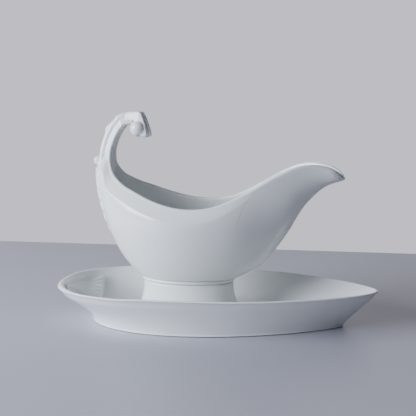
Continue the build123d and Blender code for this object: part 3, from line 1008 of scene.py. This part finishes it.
class GRAVY_OT_dish(bpy.types.Operator):
    """Models the stand: flaring wall, rounded lip, floor with its well, and hollow underside"""

    bl_idname = "gravy.dish"
    bl_label = "Dish"

    def execute(self, context):
        sizes = context.scene.gravy_stand_sizes
        stations = 128
        turns = 2 * pi * np.arange(stations) / stations
        along = np.cos(turns)
        # The rim bows up towards its middle, and on the near side it also rises and sinks again
        rim_x = DISH_HALF_LENGTH * along
        near = np.clip(-np.sin(turns), 0, 1)
        wave = smooth_step(rim_x, -62 * MM, -40 * MM) - 0.8 * smooth_step(rim_x, -30 * MM, 30 * MM)
        bow = sizes.rim_bow * (1 - along ** 2) + sizes.rim_wave * near * (wave - 0.5)
        base, rim = RIM_HIGH.z, DISH_HIGH.z
        lip = sizes.lip + sizes.shell_lip * smooth_step(-along, 0.72, 1.0)
        foot_inset, recess_cover = 4.5 * MM, 1.0 * MM
        wall_start, lip_height, edge_rise = 0.4 * MM, 1.4 * MM, 0.2 * MM

        def level(height, inset=0.0, lift=0.0):
            x, y = stand_plan(turns, height, inset)
            return np.stack([x, y, height + lift * bow], -1)

        rings = []
        under = DISH_LOW.z + recess_cover
        centre = np.array([0, 0, under])
        inner_base = level(base, foot_inset)
        for share in (0.3, 0.7, 1.0):
            ring = centre + (inner_base - centre) * share
            ring[:, 2] = under
            rings.append(ring)
        rings.append(inner_base)
        # Rolled edge of the base, in mm down and out
        for down, out in ((0, -0.8), (0.1, 0.05), (0.65, 0.10), (0.70, 0.35), (0.45, 0.48)):
            rings.append(level(base - down * MM, -out * MM))
        for share in np.linspace(0, 1, 17):
            height = base + wall_start + (rim - base - lip_height) * share
            under_lip = sizes.lip_bead * smooth_step(share, 0.80, 0.93)
            rings.append(level(height, under_lip, lift=share ** 2))

        edge = level(height + edge_rise, lift=1.0)
        rings.append(edge)
        tangent = np.roll(edge, -1, 0) - np.roll(edge, 1, 0)
        outward = np.stack([tangent[:, 1], -tangent[:, 0], np.zeros(stations)], -1)
        outward /= np.linalg.norm(outward, axis=1, keepdims=True)
        up, flatness = np.array([0, 0, 1.0]), 0.9
        half = (lip / 2)[:, None]
        for angle in (radians(a) for a in (30, 60, 90, 120, 150, 180)):
            rings.append(edge + outward * half * (cos(angle) - 1) + up * half * sin(angle) * flatness)
        inner_lip = rings[-1]

        # The inner wall leaves the lip's edge and joins its own plan lines in this share
        wall, bend, joined_by = sizes.wall, sizes.floor_round, 0.12
        shift = inner_lip - level(edge[0, 2], wall, lift=1.0)
        for share in np.linspace(0, 1, 14)[1:]:
            height = edge[0, 2] + (STAND_FLOOR + bend - edge[0, 2]) * share
            ring = level(height, wall, lift=(1 - share) ** 2)
            rings.append(ring + shift * np.exp(-(share / joined_by) ** 2))
        for angle in (radians(a) for a in (15, 30, 45, 60, 75, 90)):
            height = STAND_FLOOR + bend * (1 - sin(angle))
            rings.append(level(height, wall + bend * (1 - cos(angle))))
        floor_edge = rings[-1]

        clearance = 0.7 * MM
        well_length = (FOOT_HIGH.x - FOOT_LOW.x) / 2 + clearance
        well_width = (FOOT_HIGH.y - FOOT_LOW.y) / 2 + clearance
        well = ellipse_ring((FOOT_X, 0, STAND_FLOOR), well_length, well_width, stations)
        for share in (0.3, 0.65, 0.86):
            rings.append(floor_edge + (well - floor_edge) * share)
        middle = np.array([FOOT_X, 0, BOAT_FOOT_Z])
        # Step down into the well and its floor, in shares of its half size and its depth
        step = ((1.06, 0.10), (1.03, 0.35), (1.00, 0.68), (0.975, 0.92), (0.95, 1.0))
        for out, drop in (*step, (0.6, 1.0), (0.25, 1.0)):
            ring = middle + (well - middle) * out
            ring[:, 2] = STAND_FLOOR + (BOAT_FOOT_Z - STAND_FLOOR) * drop
            rings.append(ring)
        bm = loft(rings, start=centre, end=middle)
        finish_piece("dish", bm, "stand")
        return {"FINISHED"}


class GRAVY_OT_shell(bpy.types.Operator):
    """Models the scallop shell on the inside of the stand's handle end"""

    bl_idname = "gravy.shell"
    bl_label = "Shell"

    def execute(self, context):
        sizes = context.scene.gravy_stand_sizes
        low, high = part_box("shell")
        hinge = -DISH_HALF_LENGTH + 5.0 * MM          # where the ribs meet, just inside the lip
        edge_x = high.x + 0.6 * MM
        half_span = (high.y - low.y) / 2 - 1.0 * MM
        ribs, columns_per_rib = sizes.shell_ribs, 10
        scallop_depth, edge_curve, groove_depth = 2.2 * MM, 5.0 * MM, 3.2 * MM
        edge_sunk, back_sunk = 0.25 * MM, 1.1 * MM    # both bed the shell in the stand's wall
        hinge_share, thin_share = 0.16, 0.45

        def place(across, along, is_top):
            rib = abs(np.cos(across * ribs * pi / 2)) ** 0.5
            edge = edge_x - scallop_depth * (1 - rib) - edge_curve * across ** 2
            y = half_span * across * (hinge_share + (1 - hinge_share) * along ** 0.75)
            x = hinge + (edge - hinge) * along
            wall_z = inner_wall_height(x, y, sizes.wall)
            thickness = thin_share + (1 - thin_share) * smooth_step(along, 0.30, 0.92)
            groove = groove_depth * (1 - rib) * smooth_step(along, 0.0, 0.50)
            border = smooth_step(abs(across), 0.955, 1.0) + smooth_step(1 - along, 0.955, 1.0)
            lip = smooth_step(along, 0.965, 1.0)
            inside = np.clip(1 - border - lip, 0, 1)
            rise = (sizes.shell_relief * thickness - groove) * inside - edge_sunk
            return np.stack([x, y, wall_z + np.where(is_top, rise, -back_sunk)], -1)

        bm = relief(ribs * columns_per_rib, 40, place)
        finish_piece("shell", bm, "stand")
        return {"FINISHED"}


class GRAVY_OT_foot_rims(bpy.types.Operator):
    """Gives the two unglazed foot rims their bare clay, darkened as painted shade of the gap under
    them
    """

    bl_idname = "gravy.foot_rims"
    bl_label = "Foot rims"

    def execute(self, context):
        for name in ("stand_foot_rim", "boat_foot_rim"):
            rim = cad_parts[name]
            rim.data.materials.clear()
            # Painted shade: the rims' clay colour is darkened to stand for the shade under them
            rim.data.materials.append(unglazed_porcelain_in_shade())
        return {"FINISHED"}


# ---- Stage -------------------------------------------------------------------


def daylight(stage, name, place, aim, size, power):
    """A soft rectangular light of the daylight's colour that faces a point."""
    data = bpy.data.lights.new(name, "AREA")
    data.shape = "RECTANGLE"
    data.size, data.size_y = size
    data.energy = power
    data.color = linear_colour(stage.daylight_colour)[:3]
    light = bpy.data.objects.new(name, data)
    light.location = place
    light.rotation_euler = (Vector(aim) - Vector(place)).to_track_quat("-Z", "Y").to_euler()
    bpy.context.scene.collection.objects.link(light)


class GRAVY_OT_stage(bpy.types.Operator):
    """Lays the pale floor, sets the soft side light and places the camera"""

    bl_idname = "gravy.stage"
    bl_label = "Stage"

    def light_the_room(self, context, stage):
        """A pale wall behind, a dim room around, a floor tone below and a window on the left."""
        world = bpy.data.worlds.new("studio")
        context.scene.world = world
        world.use_nodes = True
        tree = world.node_tree
        tree.nodes.clear()
        place = add_node(tree, "ShaderNodeTexCoord").outputs["Generated"]
        wall_direction = (-0.22, 0.975, 0.0)
        facing = add_node(tree, "ShaderNodeVectorMath", {1: wall_direction}, {0: place},
                          operation="DOT_PRODUCT")
        wall = add_node(tree, "ShaderNodeMapRange",
                        {"From Min": 0.55, "From Max": 0.86}, {"Value": facing.outputs["Value"]})
        wall.interpolation_type = "SMOOTHSTEP"
        room = add_node(tree, "ShaderNodeMix", {6: linear_colour(stage.room_colour),
                                                7: linear_colour(stage.backdrop_colour)},
                        {"Factor": wall.outputs["Result"]}, data_type="RGBA")
        height = add_node(tree, "ShaderNodeSeparateXYZ", links={"Vector": place})
        below = add_node(tree, "ShaderNodeMapRange",
                         {"From Min": -0.19, "From Max": -0.25}, {"Value": height.outputs["Z"]})
        below.interpolation_type = "SMOOTHSTEP"
        shade = add_node(tree, "ShaderNodeMix", {7: linear_colour(stage.below_colour)},
                         {"Factor": below.outputs["Result"], 6: room.outputs[2]}, data_type="RGBA")
        background = add_node(tree, "ShaderNodeBackground", {"Strength": stage.room_strength},
                              {"Color": shade.outputs[2]})
        output = add_node(tree, "ShaderNodeOutputWorld",
                          links={"Surface": background.outputs["Background"]})
        output.is_active_output = True
        daylight(stage, "window", place=(-1.0, -0.62, 0.46), aim=(0, 0, 0.08),
                 size=(1.10, 0.45), power=stage.window_power)
        daylight(stage, "skylight", place=(-0.50, 0.55, 0.85), aim=(0, 0, 0.06),
                 size=(0.55, 0.45), power=stage.skylight_power)

    def lay_the_floor(self, context, stage):
        """A pale floor whose far edge meets the wall's tone behind the object."""
        half_length, half_depth, far_edge = 3.0, 1.6, 0.315
        bm = bmesh.new()
        bmesh.ops.create_grid(bm, x_segments=1, y_segments=1, size=1.0)
        bmesh.ops.scale(bm, vec=(half_length, half_depth, 1.0), verts=bm.verts)
        bmesh.ops.translate(bm, vec=(0, far_edge - half_depth, 0), verts=bm.verts)
        mesh = bpy.data.meshes.new("floor")
        bm.to_mesh(mesh)
        bm.free()
        floor = bpy.data.objects.new("floor", mesh)
        context.scene.collection.objects.link(floor)
        material, tree, output = new_material("painted_floor")
        place = add_node(tree, "ShaderNodeTexCoord").outputs["Object"]
        tone = add_node(tree, "ShaderNodeTexNoise", {"Scale": 9.0, "Detail": 2.0}, {"Vector": place})
        gloss = add_node(tree, "ShaderNodeMapRange", {"To Min": 0.38, "To Max": 0.46},
                         {"Value": tone.outputs["Fac"]})
        shader = add_node(tree, "ShaderNodeBsdfPrincipled",
                          {"Base Color": linear_colour(stage.floor_colour)},
                          {"Roughness": gloss.outputs["Result"]})
        tree.links.new(shader.outputs["BSDF"], output.inputs["Surface"])
        mesh.materials.append(material)

    def execute(self, context):
        stage = context.scene.gravy_boat_stage
        self.lay_the_floor(context, stage)
        self.light_the_room(context, stage)
        camera_data = bpy.data.cameras.new("camera")
        camera_data.sensor_width = stage.sensor_width
        camera_data.lens = stage.lens
        camera = bpy.data.objects.new("camera", camera_data)
        turn = Euler((pi / 2 - stage.camera_pitch, 0, stage.camera_azimuth))
        back = turn.to_matrix() @ Vector((0, 0, 1))
        camera.location = Vector(stage.camera_aim) + back * stage.camera_distance
        camera.rotation_euler = turn
        context.scene.collection.objects.link(camera)
        context.scene.camera = camera
        return {"FINISHED"}


# ---- Panel and registration --------------------------------------------------


OPERATORS = (
    GRAVY_OT_stage,
    GRAVY_OT_dish,
    GRAVY_OT_shell,
    GRAVY_OT_bowl,
    GRAVY_OT_foot,
    GRAVY_OT_handle,
    GRAVY_OT_buds,
    GRAVY_OT_boss,
    GRAVY_OT_tip_leaf,
    GRAVY_OT_rear_leaf,
    GRAVY_OT_foot_rims,
)
GROUPS = (
    ("gravy_boat_sizes", GravyBoatSizes),
    ("gravy_stand_sizes", GravyStandSizes),
    ("gravy_boat_finish", GravyBoatFinish),
    ("gravy_boat_stage", GravyBoatStage),
)


class GRAVY_PT_panel(bpy.types.Panel):
    """Lists the pieces, their sizes and their finish"""

    bl_idname = "GRAVY_PT_panel"
    bl_label = "Gravy Boat"
    bl_space_type = "VIEW_3D"
    bl_region_type = "UI"
    bl_category = "Gravy Boat"

    def draw(self, context):
        for name, group in GROUPS:
            box = self.layout.box()
            for key in group.__annotations__:
                box.prop(getattr(context.scene, name), key)
        for operator in OPERATORS:
            self.layout.operator(operator.bl_idname)


def register():
    """Registers the classes and hangs the settings on the scene."""
    for name, group in GROUPS:
        bpy.utils.register_class(group)
        setattr(bpy.types.Scene, name, bpy.props.PointerProperty(type=group))
    for item in (*OPERATORS, GRAVY_PT_panel):
        bpy.utils.register_class(item)


def unregister():
    """Takes the classes and the settings away again."""
    for item in reversed((*OPERATORS, GRAVY_PT_panel)):
        bpy.utils.unregister_class(item)
    for name, group in reversed(GROUPS):
        delattr(bpy.types.Scene, name)
        bpy.utils.unregister_class(group)


def main():
    register()
    for operator in OPERATORS:
        group, name = operator.bl_idname.split(".")
        getattr(getattr(bpy.ops, group), name)()


if __name__ == "__main__":
    main()
